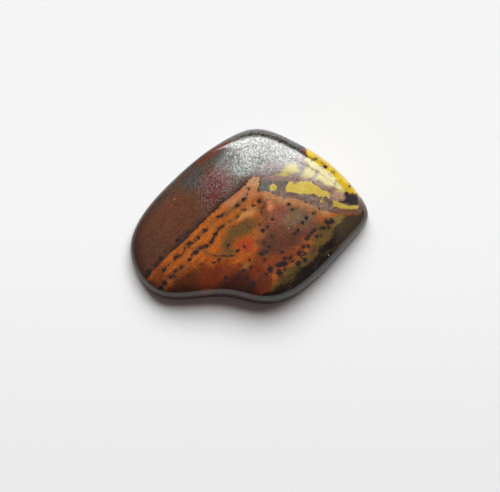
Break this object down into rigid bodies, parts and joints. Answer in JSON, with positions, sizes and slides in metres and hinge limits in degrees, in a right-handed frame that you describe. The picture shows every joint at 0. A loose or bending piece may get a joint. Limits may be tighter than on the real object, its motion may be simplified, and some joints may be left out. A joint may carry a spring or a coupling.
{
  "type": "mugglestone cabochon",
  "caption": "Polished freeform cabochon of mugglestone: flat ground back, steep rounded side that thins at both ends, and low dome, banded in orange and yellow jasper and dark hematite.",
  "frame": {"origin": "centre of the bounding box at the flat back, on the surface that the stone lies on", "axes": "+X along the long side to the rounded tip, +Y across it to the rounded upper corner, +Z out of the flat back to the domed face"},
  "size_m": [0.0154, 0.0114, 0.0025],
  "materials": {
    "polished_stone": "polished"
  },
  "bodies": {
    "root": {"stone": "polished_stone"}
  },
  "joints": []
}
